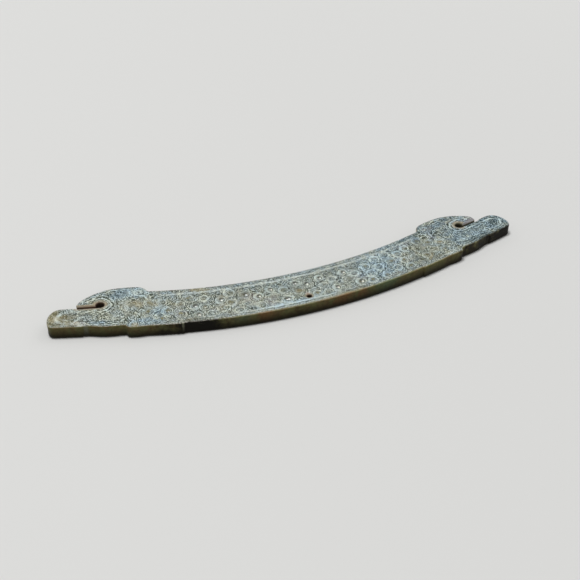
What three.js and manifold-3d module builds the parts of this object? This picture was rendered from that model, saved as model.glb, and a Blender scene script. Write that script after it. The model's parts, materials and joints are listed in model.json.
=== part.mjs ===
// Jade huang: an arc-shaped pendant plaque, sawn from one slab, with a dragon head in profile at each end.
// Millimetres, +Z up. It lies flat on one carved face. Its long axis is X, its hollow edge faces +Y, and the
// origin is on the surface that it lies on, under the middle of its bounding box.
import * as THREE from "three";
import { mergeVertices } from "three/addons/utils/BufferGeometryUtils.js";
import Module from "manifold-3d";

// The slab, and the arc that it is cut to
const slabThickness = 5;
const hollowRadius = 183.7;
const bandWidth = 18.75;
const bodyChord = 105.6; // between the two crest notches, on the hollow edge
const arrisWear = 0.25; // how far the handled edges are rubbed off
const stringHoleRadius = 1;
const stringHoleInset = 4.45; // from the outer edge to the hole's centre

// The heads: how far one reaches past its crest notch, its mouth, and the cheek's low step on the outer edge
const headLength = 34.5;
const mouthHoleRadius = 1.6;
const mouthSlotWidth = 1.1;
const cheekStep = 0.38;
const cheekSpan = 12.7; // from the crest notch back to where the cheek begins

// The carving: plain rims, a sunk field of rounded grains, and grooves on the heads
const hollowRim = 2.85;
const outerRim = 2.3;
const fieldDepth = 0.35;
const fieldReach = 5.5; // how far the field runs past the crest notch into each head
const grainRadius = 1.6;
const grainHeight = 0.3;
const grainTopShare = 0.4; // the grain's flat top, of its radius
const grainPitch = 4.7; // from one column of grains to the next
const grainRows = 3; // in every second column, with one grain fewer in the columns between
const grooveWidth = 0.7;
const grooveDepth = 0.3;

const overrun = 0.2; // how far a cut or a join runs past the face that it meets

// How finely the curves are stepped
const curveSteps = 5;
const grooveSteps = 12;
const grainSides = 8;

const outerRadius = hollowRadius + bandWidth;
const midRadius = (hollowRadius + outerRadius) / 2;
const halfBand = bandWidth / 2;
const notchAngle = Math.asin(bodyChord / 2 / hollowRadius);
const cheekAngle = notchAngle - cheekSpan / outerRadius;
const fieldAngle = notchAngle + fieldReach / midRadius;

const wasm = await Module();
wasm.setup();

// A closed geometry as a solid
function solidOf(geometry) {
  const bare = geometry.index ? geometry.toNonIndexed() : geometry.clone();
  bare.deleteAttribute("normal");
  bare.deleteAttribute("uv");
  const merged = mergeVertices(bare);
  return new wasm.Manifold(
    new wasm.Mesh({
      numProp: 3,
      vertProperties: new Float32Array(merged.attributes.position.array),
      triVerts: new Uint32Array(merged.index.array),
    }),
  );
}

// A solid as a geometry with flat shaded faces
function geometryOf(solid) {
  const { vertProperties, triVerts } = solid.getMesh();
  const indexed = new THREE.BufferGeometry()
    .setAttribute("position", new THREE.BufferAttribute(vertProperties, 3))
    .setIndex(new THREE.BufferAttribute(triVerts, 1));
  const geometry = indexed.toNonIndexed();
  geometry.computeVertexNormals();
  return geometry;
}

// The plaque is drawn round the centre of its arc. An angle of the arc is measured from its middle towards
// -X, and this is its heading as a three.js arc takes it.
const headingOf = (angle) => -Math.PI / 2 - angle;

function onArc(angle, radius) {
  return new THREE.Vector2(Math.cos(headingOf(angle)), Math.sin(headingOf(angle))).multiplyScalar(radius);
}

const stringHole = onArc(0, outerRadius - stringHoleInset);

// A point of the left head. Along is a share of the head's length, outwards from the crest notch. Across is
// a share of half the band's width, from the middle of the band towards the hollow edge.
function onHead([along, across]) {
  const foot = onArc(notchAngle, midRadius - across * halfBand);
  const outwards = new THREE.Vector2(-Math.cos(notchAngle), Math.sin(notchAngle));
  return foot.addScaledVector(outwards, along * headLength);
}

// Lines and curves on a path, through points of the left head
function lineTo(path, ...shares) {
  shares.map(onHead).forEach((point) => path.lineTo(point.x, point.y));
}

function curveTo(path, ...shares) {
  path.bezierCurveTo(...shares.flatMap((share) => onHead(share).toArray()));
}

// The mouth as the outline meets it: in along the near lip, which is tangent to the drilled hole, round the
// hole, and out along the far lip. Outward points along the slot, and across points from lip to lip.
function mouthTo(path, lipShare, holeShare) {
  const lip = onHead(lipShare);
  const centre = onHead(holeShare);
  const toLip = lip.clone().sub(centre);
  const heading = toLip.angle() - Math.asin(mouthHoleRadius / toLip.length());
  const outward = new THREE.Vector2(Math.cos(heading), Math.sin(heading));
  const across = new THREE.Vector2(outward.y, -outward.x);
  const start = heading + Math.PI / 2;
  const end = heading - Math.asin(mouthSlotWidth / mouthHoleRadius - 1);
  path.absarc(centre.x, centre.y, mouthHoleRadius, start, end, false);
  const farLip = lip.addScaledVector(across, mouthSlotWidth);
  path.lineTo(farLip.x, farLip.y);
}

// The left half of the outline: from the middle of the outer edge, along the cheek, round the tooth, the
// snout, the mouth, the hooked jaw and the crest, and back to the middle of the hollow edge
function leftHalf() {
  const path = new THREE.Path();
  path.absarc(0, 0, outerRadius, headingOf(0), headingOf(cheekAngle), true);
  path.absarc(0, 0, outerRadius + cheekStep, headingOf(cheekAngle), headingOf(notchAngle), true);
  curveTo(path, [0.04, -1.06], [0.09, -1.1], [0.162, -1.095]);
  curveTo(path, [0.185, -1.09], [0.2, -1.03], [0.21, -0.951]);
  curveTo(path, [0.275, -0.96], [0.342, -1], [0.415, -1]);
  curveTo(path, [0.478, -1], [0.536, -0.94], [0.59, -0.928]);
  lineTo(path, [0.635, -0.928], [0.65, -0.96], [0.919, -0.957]);
  curveTo(path, [0.974, -0.955], [1, -0.78], [1, -0.5]);
  curveTo(path, [1, -0.19], [0.95, 0.09], [0.875, 0.1]);
  curveTo(path, [0.83, 0.112], [0.77, 0.128], [0.716, 0.094]);
  mouthTo(path, [0.716, 0.094], [0.49, 0.299]);
  lineTo(path, [0.728, 0.267]);
  curveTo(path, [0.722, 0.46], [0.667, 0.683], [0.597, 0.864]);
  curveTo(path, [0.539, 1.013], [0.47, 1.163], [0.377, 1.227]);
  curveTo(path, [0.299, 1.28], [0.217, 1.301], [0.142, 1.291]);
  curveTo(path, [0.075, 1.28], [0.043, 1.173], [0.0275, 1.056]);
  path.absarc(0, 0, hollowRadius, headingOf(notchAngle), headingOf(0), false);
  return path.getPoints(curveSteps);
}

// The whole slab, with both edges of its outline and of its string hole rubbed round
function slab() {
  const left = leftHalf();
  const right = left.slice(1, -1).map((point) => new THREE.Vector2(-point.x, point.y));
  const outline = new THREE.Shape([...left, ...right.reverse()]);
  const hole = new THREE.Path();
  hole.absarc(stringHole.x, stringHole.y, stringHoleRadius, 0, 2 * Math.PI);
  outline.holes.push(hole);
  const body = new THREE.ExtrudeGeometry(outline, {
    depth: slabThickness - 2 * arrisWear,
    curveSegments: curveSteps,
    bevelThickness: arrisWear,
    bevelSize: arrisWear,
    bevelOffset: -arrisWear,
    bevelSegments: 1,
  });
  return solidOf(body.translate(0, 0, arrisWear));
}

// The sunk field between the rims
function field() {
  const inner = hollowRadius + hollowRim;
  const outer = outerRadius - outerRim;
  const sector = new THREE.Shape();
  sector.absarc(0, 0, outer, headingOf(-fieldAngle), headingOf(fieldAngle), true);
  sector.absarc(0, 0, inner, headingOf(fieldAngle), headingOf(-fieldAngle), false);
  const depth = fieldDepth + overrun;
  const cut = new THREE.ExtrudeGeometry(sector, { depth, curveSegments: 2 * curveSteps, bevelEnabled: false });
  return cut.translate(0, 0, slabThickness - fieldDepth);
}

// The grains: low bosses on the floor of the field, in staggered columns, but none where the string hole is
function grains() {
  const profile = [
    [0, -overrun],
    [grainRadius, -overrun],
    [grainRadius, 0],
    [grainRadius * grainTopShare, grainHeight],
    [0, grainHeight],
  ].map(([radius, height]) => new THREE.Vector2(radius, height));
  const grain = new THREE.LatheGeometry(profile, grainSides).rotateX(Math.PI / 2);
  const rowPitch = (bandWidth - hollowRim - outerRim) / grainRows;
  const columns = 2 * Math.floor((fieldAngle * midRadius - grainRadius) / grainPitch + 1 / 2);
  const placed = [];
  for (let column = 0; column < columns; column++) {
    const odd = column % 2;
    const angle = ((column - (columns - 1) / 2) * grainPitch) / midRadius;
    for (let row = 0; row < grainRows - odd; row++) {
      const spot = onArc(angle, hollowRadius + hollowRim + rowPitch * (row + (1 + odd) / 2));
      if (spot.distanceTo(stringHole) < grainRadius + stringHoleRadius + arrisWear) continue;
      placed.push(grain.clone().translate(spot.x, spot.y, slabThickness - fieldDepth));
    }
  }
  return placed;
}

// A groove of V section on the upper face, through points of the left head or, with side -1, the right one
function groove(side, shares) {
  const spots = shares.map(onHead).map((spot) => new THREE.Vector3(side * spot.x, spot.y, slabThickness));
  const section = new THREE.Shape([
    new THREE.Vector2(-grooveDepth, 0),
    new THREE.Vector2(0, -grooveWidth / 2),
    new THREE.Vector2(grooveDepth, 0),
    new THREE.Vector2(0, grooveWidth / 2),
  ]);
  const extrudePath = new THREE.CatmullRomCurve3(spots);
  return new THREE.ExtrudeGeometry(section, { steps: grooveSteps, extrudePath });
}

// The lines on both heads: the lip round the mouth, the ring round the nostril, and the eye
function headGrooves() {
  const lip = [[0.617, -0.16], [0.49, -0.19], [0.386, -0.06], [0.332, 0.206], [0.418, 0.595], [0.56, 0.672]];
  const nostril = [[0.745, -0.15], [0.89, -0.21], [0.915, -0.57], [0.83, -0.74], [0.7, -0.48]];
  const eye = [[0.21, 0.25], [0.27, 0.21], [0.28, 0], [0.21, -0.07]];
  return [lip, nostril, eye].flatMap((shares) => [groove(1, shares), groove(-1, shares)]);
}

// The same piece on the lower face: a half turn about the line across the middle of the slab
const turnedOver = (geometry) => geometry.clone().rotateY(Math.PI).translate(0, 0, slabThickness);

function carvedSlab() {
  const cuts = [field(), ...headGrooves()];
  const bosses = grains();
  let solid = slab();
  for (const cut of [...cuts, ...cuts.map(turnedOver)]) solid = solid.subtract(solidOf(cut));
  for (const boss of [...bosses, ...bosses.map(turnedOver)]) solid = solid.add(solidOf(boss));
  return geometryOf(solid);
}

const jade = new THREE.MeshStandardMaterial({ color: 0x8a9484, roughness: 0.38, metalness: 0 });
const plaque = new THREE.Mesh(carvedSlab(), jade);
plaque.name = "huang_plaque";
plaque.geometry.computeBoundingBox();
plaque.position.y = -plaque.geometry.boundingBox.getCenter(new THREE.Vector3()).y;

const pendant = new THREE.Group();
pendant.add(plaque);

export default pendant;
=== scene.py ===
"""Jade huang pendant: one carved and weathered stone, lying flat on a plain pale floor.

Shapes are worked out in millimetres round the centre of the arc, with the arc's outer edge towards -Y,
and moved into the frame, in metres, when the mesh is made.
"""
import json
import math

import bpy
import numpy as np
from mathutils import Matrix, Vector
from mathutils.geometry import delaunay_2d_cdt

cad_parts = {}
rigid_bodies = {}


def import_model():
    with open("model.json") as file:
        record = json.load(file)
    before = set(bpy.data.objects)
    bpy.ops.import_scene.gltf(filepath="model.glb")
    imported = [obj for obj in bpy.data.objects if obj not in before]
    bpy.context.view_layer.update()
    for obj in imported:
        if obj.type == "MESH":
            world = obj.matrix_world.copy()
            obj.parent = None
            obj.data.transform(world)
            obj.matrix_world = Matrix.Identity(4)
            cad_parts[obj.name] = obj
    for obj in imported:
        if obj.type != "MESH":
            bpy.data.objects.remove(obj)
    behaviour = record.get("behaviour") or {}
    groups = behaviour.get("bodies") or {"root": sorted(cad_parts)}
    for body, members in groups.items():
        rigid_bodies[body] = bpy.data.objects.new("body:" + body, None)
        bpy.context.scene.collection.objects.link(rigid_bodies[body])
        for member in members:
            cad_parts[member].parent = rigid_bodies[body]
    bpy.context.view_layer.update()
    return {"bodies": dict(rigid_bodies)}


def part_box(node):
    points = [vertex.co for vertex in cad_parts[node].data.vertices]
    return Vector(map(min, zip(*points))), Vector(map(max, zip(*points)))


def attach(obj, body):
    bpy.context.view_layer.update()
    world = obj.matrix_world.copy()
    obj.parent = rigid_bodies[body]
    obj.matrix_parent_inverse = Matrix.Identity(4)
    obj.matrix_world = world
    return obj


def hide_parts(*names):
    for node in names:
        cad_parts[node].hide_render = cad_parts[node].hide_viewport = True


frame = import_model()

slab_low, slab_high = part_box("huang_plaque")

MM = 0.001

# Sizes of the slab, its openings and its heads, in millimetres
THICKNESS = (slab_high[2] - slab_low[2]) / MM
HOLLOW_RADIUS = 183.7
BAND = 18.75
BODY_CHORD = 105.6
STRING_HOLE_RADIUS = 1.0
STRING_HOLE_INSET = 4.45
HEAD_LENGTH = 34.5
MOUTH_HOLE_RADIUS = 1.6
MOUTH_SLOT = 1.1
CHEEK_STEP = 0.38
CHEEK_SPAN = 12.7

# The rims and the sunk field
HOLLOW_RIM = 2.75
OUTER_RIM = 2.3
HEAD_RIM = 0.7
RIM_SLOPE = 0.7
FIELD_DEPTH = 0.3
HEAD_DEPTH = 0.2
LEAST_DEPTH = 0.02

# A grain: its highest rise, its moat's depth and its painted glint's shift, and then its radii in shares of
# its size
GRAIN_RISE = 0.42
MOAT_DEPTH = 0.08
PAINTED_GLINT_SHIFT = np.array([0.25, -0.6])
DOME = (0.15, 1.25)
MOAT_BEGINS = (1.0, 1.3)
MOAT_ENDS = (1.45, 1.8)
MOAT_MIDDLE = 1.35
POLISH_ENDS = (0.55, 1.0)
PAINTED_GLINT_ENDS = (0.15, 0.5)

# A grain's spiral, in shares of its size, with the tail's turn in radians, and the curls on the heads
SPIRAL_START = 2.0
SPIRAL_STEP = 0.55  # inwards, for each turn
SPIRAL_TURNS = 1.35
TAIL_TURN = 0.8
TAIL_FLARE = 0.75
RING_WIDTH = 0.4  # of the usual line's, without chalk in it
RING_WIDENING = 0.3
CURL_TURNS = 1.3
CURL_FALL_SHARE = 0.55  # of the curl's first radius, for each turn

# The incised lines, the fine waves between them, and the unevenness of it all
LINE_FLANK = (0.05, 0.27)
LINE_DEPTH = 0.12
WAVE_PITCH = 0.76
WAVE_DEPTH = 0.05
CONTOUR_PITCH = 1.1
CONTOUR_STEADINESS = 0.55
ROUGH_DEPTH = 0.03

# The openings: the countersunk mouths, the bevels of the jaws' lips, and the scooped string hole
COUNTERSINK = 0.75
COUNTERSINK_DEPTH = 0.22
LIP_BEVEL = 0.6
LIP_BEVEL_DEPTH = 0.4
LIP_OVERLAP = 0.1
WORN_BEVEL = 1.9
WORN_BEVEL_DEPTH = 0.75
WORN_BEVEL_SHARE = 0.9  # of the lip's length, from where it is as wide as it gets
SCOOP_HALF_WIDTH = 0.85
SCOOP_BEGINS = (0.2, 0.8)
SCOOP_START = 0.9
SCOOP_REACH = 2.1
SCOOP_DEPTH = 0.35

# The rounded edges, and how far the walls are hollowed
TOP_ARRIS = 0.28
BODY_ARRIS = 0.18
WORN_ARRIS = 0.5
UNDER_ARRIS = 0.55
WALL_HOLLOW = 0.045

# The lines on the rims: the ridge at the field's edge, and the outer rim's dark seam and pale line, each with
# its inset and its half width, and where along the band each rim is brightest, with the half length of that
# The ridge and the outer pale line are partly chalk and partly a painted highlight
RIDGE_INSET, RIDGE_WIDTH = 0.1, 0.4
OUTER_RIDGE_LOSS = 0.2  # of the ridge's brightness, on the outer rim
SEAM = (1.6, 0.25)
PALE_LINE = (0.85, 0.3)
PALE_LINE_SHARE = 0.5  # of the ridge's brightness
HOLLOW_BRIGHT = (-5, 26)
HOLLOW_BRIGHT_LEAST = 0.65
OUTER_BRIGHT = (-8, 22)

# Where one form turns into another, from a first place to a last. The first five are lengths along the band
# from its middle, the next two are widths across it from the hollow edge, and the rest are distances from an
# edge, an opening or, with the waves, a grain.
HEAD_BEGINS = (51, 56)
CONTOURS_BEGIN = (63, 67)
CONTOURS_END = (79, 83)
BODY_BEGINS = (-50, -40)
WORN_BEGINS = (68, 74)
MID_BAND = (8, 11)
OUTER_HALF = (BAND / 2, BAND * 0.7)
CONTOURS_REACH = (3.2, 4.4)
WAVES_BEGIN = (1.2, 1.6)
WAVES_REACH = (0.2, 0.7)
ROUGH_REACH = (0.15, 0.8)
LEAST_REACH = (0.3, 1)
MOUTH_CLEAR = (0.2, 1.4)
STRING_CLEAR = (0.1, 0.8)
LINES_CLEAR = (0.2, 0.7)
RIM_FADE = (-0.1, 0.3)
SLOT_SOIL = (0.6, 1.2)
HOLE_SOIL = (0.5, 1.7)
STRING_SOIL = (0.1, 1.1)
BORE_ENDS = (0.1, 0.25)
WALL_ENDS = (0.02, 0.2)
WALL_SPREAD = 0.4  # added to the last place, on the body's outer side
# The pale edge line, partly worn and partly a painted highlight
WORN_HIGHLIGHT_BEGINS = (0, 0.1)
WORN_HIGHLIGHT_ENDS = (0.3, 0.5)

# Layers of unevenness: the strength, the pitch and the seed of each
WANDERING = [(0.75, 1.7, 11), (0.4, 0.9, 12)]
ROUGHNESS = [(0.022, 1.1, 3), (0.014, 0.5, 4)]
WALL_WANDERING = [(0.035, 2.6, 21)]

# How much of the pale edge line shows, partly wear and partly a painted highlight: its share at the left
# head, then each change of it along the band, with the lengths between which it comes
WORN_HIGHLIGHT_SHARE = 0.5
WORN_HIGHLIGHT_CHANGES = [(-60, -55, 0.5), (-48, -40, -0.4), (5, 15, -0.3), (54, 60, -0.15)]

# How finely the lines and surfaces are stepped
CURVE_SAMPLES = 60
ARC_SAMPLES = 200
SPIRAL_SAMPLES = 34
TAIL_SAMPLES = 6
CURL_SAMPLES = 30
RUN_STEPS = 8
EDGE_STEP = 0.33
FRONT_STEP = 0.237
FRONT_INSETS = (0.04, 0.13, 0.26)
BACK_STEP = 0.46
BACK_INSETS = (0.08, 0.26, 0.5)
RING_CLEARANCE = 0.8  # of the inset: where a set-in line comes nearer to an edge, it is left out
LATTICE_CLEARANCE = 0.5  # of the lattice's step, kept free inside the last set-in line
WALL_STEPS = 7
STRING_HOLE_SIDES = 28
NOISE_CELLS = 512
BLOCK = 2000  # how many points are worked on at a time
TINY = 1e-12

OUTER_RADIUS = HOLLOW_RADIUS + BAND
MID_RADIUS = HOLLOW_RADIUS + BAND / 2
HALF_BAND = BAND / 2
NOTCH_ANGLE = math.asin(BODY_CHORD / 2 / HOLLOW_RADIUS)
CHEEK_ANGLE = NOTCH_ANGLE - CHEEK_SPAN / OUTER_RADIUS
STRING_HOLE = np.array([0.0, STRING_HOLE_INSET - OUTER_RADIUS])
MIRROR = np.array([-1.0, 1.0])


# The outline

def on_arc(angle, radius):
    """Points of the arc, by their angle from its middle towards -X and their radius."""
    angle = np.asarray(angle, float)
    return np.stack([-radius * np.sin(angle), -radius * np.cos(angle)], -1)


OUTWARDS = np.array([-math.cos(NOTCH_ANGLE), math.sin(NOTCH_ANGLE)])
TO_HOLLOW = np.array([math.sin(NOTCH_ANGLE), math.cos(NOTCH_ANGLE)])
HEAD_FOOT = on_arc(NOTCH_ANGLE, MID_RADIUS)


def on_head(places):
    """Points of the left head: millimetres outwards from the crest notch, and from mid band to the hollow."""
    places = np.asarray(places, float)
    return HEAD_FOOT + places[..., :1] * OUTWARDS + places[..., 1:] * TO_HOLLOW


def head_shares(*shares):
    """Points of the left head, as shares of its length and of half the band's width."""
    return on_head(np.array(shares) * [HEAD_LENGTH, HALF_BAND])


def evenly(points, step):
    """The same open line with its points moved to even spacing along it, no further apart than step."""
    along = np.concatenate([[0], np.cumsum(np.linalg.norm(np.diff(points, axis=0), axis=1))])
    count = max(1, math.ceil(along[-1] / step))
    at = np.linspace(0, along[-1], count + 1)
    return np.stack([np.interp(at, along, points[:, axis]) for axis in (0, 1)], -1)


def bezier(*shares):
    """A cubic curve on the head: each point is its four given points in Bernstein weights."""
    a, b, c, d = head_shares(*shares)
    t = np.linspace(0, 1, CURVE_SAMPLES)[:, None]
    return (1 - t) ** 3 * a + 3 * t * (1 - t) ** 2 * b + 3 * t * t * (1 - t) * c + t**3 * d


def mouth(lip_share, hole_share):
    """The mouth's edge: in along the near lip, round the drilled hole, and out along the far lip."""
    lip, centre = head_shares(lip_share, hole_share)
    to_lip = lip - centre
    heading = math.atan2(to_lip[1], to_lip[0]) - math.asin(MOUTH_HOLE_RADIUS / np.linalg.norm(to_lip))
    end = heading + 2 * math.pi - math.asin(MOUTH_SLOT / MOUTH_HOLE_RADIUS - 1)
    turn = np.linspace(heading + math.pi / 2, end, CURVE_SAMPLES)
    round_hole = centre + MOUTH_HOLE_RADIUS * np.stack([np.cos(turn), np.sin(turn)], -1)
    across = np.array([math.sin(heading), -math.cos(heading)])
    far_lip = lip + across * MOUTH_SLOT
    return [np.array([lip, round_hole[0]]), round_hole, np.array([round_hole[-1], far_lip])]


MOUTH_SHARES = (0.716, 0.094), (0.49, 0.299)
MOUTH_LINES = mouth(*MOUTH_SHARES)


def half_outline():
    """The outline's left half, clockwise from the middle of the outer edge to that of the hollow edge."""
    body = on_arc(np.linspace(0, CHEEK_ANGLE, ARC_SAMPLES), OUTER_RADIUS)
    cheek = on_arc(np.linspace(CHEEK_ANGLE, NOTCH_ANGLE, CURVE_SAMPLES), OUTER_RADIUS + CHEEK_STEP)
    hollow = on_arc(np.linspace(NOTCH_ANGLE, 0, ARC_SAMPLES), HOLLOW_RADIUS)
    jaw = bezier((0.728, 0.267), (0.722, 0.46), (0.667, 0.683), (0.597, 0.864))
    crest = bezier((0.142, 1.291), (0.075, 1.28), (0.043, 1.173), (0.0275, 1.056))
    tooth = bezier((0, -1.0405), (0.04, -1.06), (0.09, -1.1), (0.162, -1.095))
    lines = [
        body,
        np.array([body[-1], cheek[0]]),
        np.vstack([cheek, tooth[1:]]),
        bezier((0.162, -1.095), (0.185, -1.09), (0.2, -1.03), (0.21, -0.951)),
        bezier((0.21, -0.951), (0.275, -0.96), (0.342, -1), (0.415, -1)),
        bezier((0.415, -1), (0.478, -1), (0.536, -0.94), (0.59, -0.928)),
        head_shares((0.59, -0.928), (0.635, -0.928)),
        head_shares((0.635, -0.928), (0.65, -0.96)),
        head_shares((0.65, -0.96), (0.919, -0.957)),
        bezier((0.919, -0.957), (0.974, -0.955), (1, -0.78), (1, -0.5)),
        bezier((1, -0.5), (1, -0.19), (0.95, 0.09), (0.875, 0.1)),
        bezier((0.875, 0.1), (0.83, 0.112), (0.77, 0.128), (0.716, 0.094)),
        *MOUTH_LINES,
        np.array([MOUTH_LINES[-1][-1], jaw[0]]),
        jaw,
        bezier((0.597, 0.864), (0.539, 1.013), (0.47, 1.163), (0.377, 1.227)),
        bezier((0.377, 1.227), (0.299, 1.28), (0.217, 1.301), (0.142, 1.291)),
        crest,
        np.array([crest[-1], hollow[0]]),
        hollow,
    ]
    evened = [evenly(line, EDGE_STEP)[:-1] for line in lines]
    return np.concatenate([*evened, hollow[-1:]])


def whole_outline():
    """The closed outline, with the stone on the left as it is followed and no point repeated."""
    left = half_outline()
    right = left[1:-1][::-1] * MIRROR
    return np.concatenate([left, right])[::-1]


def string_edge():
    """The string hole's edge, a circle followed clockwise, so that the stone is on the left of it too."""
    turn = np.arange(STRING_HOLE_SIDES) / STRING_HOLE_SIDES * 2 * np.pi
    return STRING_HOLE + STRING_HOLE_RADIUS * np.stack([np.cos(turn), -np.sin(turn)], -1)


OUTLINE = whole_outline()
STRING_EDGE = string_edge()
MIDDLE_Y = (OUTLINE[:, 1].min() + OUTLINE[:, 1].max()) / 2


def line_distance(points, line, closed=False):
    """Distance from each point to the nearest place on a line of straight runs, worked out in blocks."""
    start = line if closed else line[:-1]
    along = (np.roll(line, -1, axis=0) if closed else line[1:]) - start
    length2 = np.maximum((along**2).sum(1), TINY)
    far = np.empty(len(points))
    for first in range(0, len(points), BLOCK):
        block = points[first : first + BLOCK, None, :] - start[None]
        t = np.clip((block * along).sum(2) / length2, 0, 1)
        far[first : first + BLOCK] = np.sqrt(((block - t[..., None] * along) ** 2).sum(2).min(1))
    return far


def string_distance(points):
    """Distance from each point out to the string hole's edge, and less than nothing inside the hole."""
    return np.linalg.norm(points - STRING_HOLE, axis=1) - STRING_HOLE_RADIUS


def edge_distance(points):
    """Distance from each point to the nearest edge, which is the outline or the string hole."""
    return np.minimum(line_distance(points, OUTLINE, closed=True), np.abs(string_distance(points)))


def in_stone(points):
    """True where a ray towards +X crosses the outline an odd number of times and the string hole isn't."""
    x0, y0 = OUTLINE.T
    x1, y1 = np.roll(OUTLINE, -1, axis=0).T
    rise = np.where(y1 == y0, 1, y1 - y0)
    odd = np.zeros(len(points), bool)
    for first in range(0, len(points), BLOCK):
        px, py = points[first : first + BLOCK].T[..., None]
        crossed = ((y0 > py) != (y1 > py)) & (px < x0 + (py - y0) * (x1 - x0) / rise)
        odd[first : first + BLOCK] = crossed.sum(1) % 2 == 1
    return odd & (string_distance(points) > 0)


def arc_place(points):
    """Each point's length along the middle of the band, towards +X, and its width from the hollow edge."""
    along = MID_RADIUS * np.arctan2(points[:, 0], -points[:, 1])
    return along, np.linalg.norm(points, axis=1) - HOLLOW_RADIUS


def at_arc(along, across):
    """The point at a length along the middle of the band and a width out from the hollow edge."""
    return on_arc(-np.asarray(along, float) / MID_RADIUS, HOLLOW_RADIUS + np.asarray(across, float))


# The carving

def ramp(value, low, high):
    """Smooth step: 3t² - 2t³, where t is the share of the way from low to high."""
    t = np.clip((value - low) / (high - low), 0, 1)
    return t * t * (3 - 2 * t)


def bell(value, middle, width):
    """Bell curve: e to the power of minus the square of the distance from the middle, in widths."""
    return np.exp(-(((value - middle) / width) ** 2))


def noise(points, pitch, seed):
    """Soft random values from -1 to 1: seeded ones on a square grid, each point blending its four nearest."""
    values = np.random.default_rng(seed).uniform(-1, 1, (NOISE_CELLS, NOISE_CELLS))
    cell = np.floor(points / pitch).astype(int)
    tx, ty = ramp(points / pitch - cell, 0, 1).T
    x0, y0 = cell.T % NOISE_CELLS
    x1, y1 = (x0 + 1) % NOISE_CELLS, (y0 + 1) % NOISE_CELLS
    near = values[x0, y0] * (1 - tx) + values[x1, y0] * tx
    far = values[x0, y1] * (1 - tx) + values[x1, y1] * tx
    return near * (1 - ty) + far * ty


def unevenness(points, layers):
    """Layers of noise added up, each given by its strength, its pitch and its seed."""
    return sum(strength * noise(points, pitch, seed) for strength, pitch, seed in layers)


def through(*places, closed=False):
    """A smooth line through the places: a Catmull-Rom curve, with RUN_STEPS steps between two places."""
    places = np.array(places, float)
    if closed:
        padded = np.vstack([places[-1:], places, places[:2]])
    else:
        padded = np.vstack([2 * places[0] - places[1], places, 2 * places[-1] - places[-2]])
    a, b, c, d = (padded[i : len(padded) - 3 + i, None] for i in range(4))
    t = np.linspace(0, 1, RUN_STEPS, endpoint=False)[:, None]
    bend, twist = 2 * a - 5 * b + 4 * c - d, 3 * b - a - 3 * c + d
    curve = (2 * b + (c - a) * t + bend * t**2 + twist * t**3) / 2
    return np.vstack([curve.reshape(-1, 2), padded[-2:-1]])


# Where the grains were marked out: a length along the band, and the widths across it at that length
GRAIN_COLUMNS = {
    -56.0: (6.5, 11.5, 15.2), -51.5: (6.5, 15.4), -49.5: (11.5,), -45.0: (8.0, 13.5), -42.0: (5.2,),
    -40.0: (10.0,), -39.0: (14.8,), -36.5: (6.0, 11.0), -34.5: (15.2,), -30.5: (8.0, 12.5),
    -27.0: (4.7, 10.0), -25.0: (15.0,), -21.5: (7.0, 11.5), -17.0: (9.0, 14.2), -12.0: (6.5, 10.8, 15.3),
    -7.5: (8.2, 13.5), -2.5: (5.8, 10.2), 1.5: (7.5,), 3.2: (14.0,), 7.2: (6.0, 10.6, 15.1),
    11.2: (8.3, 13.5), 16.8: (6.3, 10.8), 15.5: (15.3,), 20.5: (8.8, 14.0), 26.0: (7.2, 11.6),
    24.5: (15.4,), 30.5: (9.6, 15.2), 31.5: (5.0,), 36.3: (4.6, 9.0, 13.5), 41.0: (6.7, 11.0, 15.2),
    45.5: (5.3, 11.5), 50.0: (8.3, 13.4), 52.5: (4.6,), 54.5: (12.0,), 55.5: (7.8,), 59.3: (10.4,),
    58.0: (14.6,),
}
GRAINS = np.vstack([at_arc(along, across) for along, widths in GRAIN_COLUMNS.items() for across in widths])

# What differs from grain to grain, drawn by chance: its size, how far it rises, the turn and the hand of its
# spiral, the chalk in that line, its polish, and how bright the painted glint on its crown is
GRAIN_DRAWS = np.random.default_rng(7)
GRAIN_SIZES = GRAIN_DRAWS.uniform(0.85, 1.1, len(GRAINS))
GRAIN_RISES = GRAIN_DRAWS.uniform(0.22, GRAIN_RISE, len(GRAINS))
GRAIN_TURNS = GRAIN_DRAWS.uniform(-3.3, -1.9, len(GRAINS))
GRAIN_HANDS = np.where(GRAIN_DRAWS.random(len(GRAINS)) < 0.75, -1, 1)
GRAIN_CHALKS = GRAIN_DRAWS.uniform(0.45, 1, len(GRAINS))
GRAIN_POLISHES = GRAIN_DRAWS.uniform(0.15, 0.75, len(GRAINS))
GRAIN_PAINTED_GLINTS = 0.5 * GRAIN_POLISHES

# The grains that shine most, and those with the clearest rings, by their places in the columns
SHINING = [(-40, 10), (-39, 14.8), (-30.5, 8), (-21.5, 7), (-17, 9), (-12, 6.5), (-7.5, 13.5)]
SHINING += [(-2.5, 5.8), (1.5, 7.5), (7.2, 6), (11.2, 13.5), (16.8, 6.3), (20.5, 14)]
CLEAR_RINGED = [(-27, 4.7), (-36.5, 6), (20.5, 8.8), (26, 7.2)]
CLEAR_RINGED += [(26, 11.6), (30.5, 9.6), (31.5, 5), (45.5, 5.3)]


def grains_at(places):
    """The numbers of the grains nearest to places given by a length along the band and a width across it."""
    spots = at_arc(*np.array(places, float).T)
    return np.linalg.norm(GRAINS[:, None] - spots, axis=2).argmin(0)


GRAIN_POLISHES[grains_at(SHINING)] = 1
GRAIN_PAINTED_GLINTS[grains_at(SHINING)] = 1
GRAIN_RISES[grains_at(SHINING)] = GRAIN_RISE
GRAIN_CHALKS[grains_at(CLEAR_RINGED)] = 1.1


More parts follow.
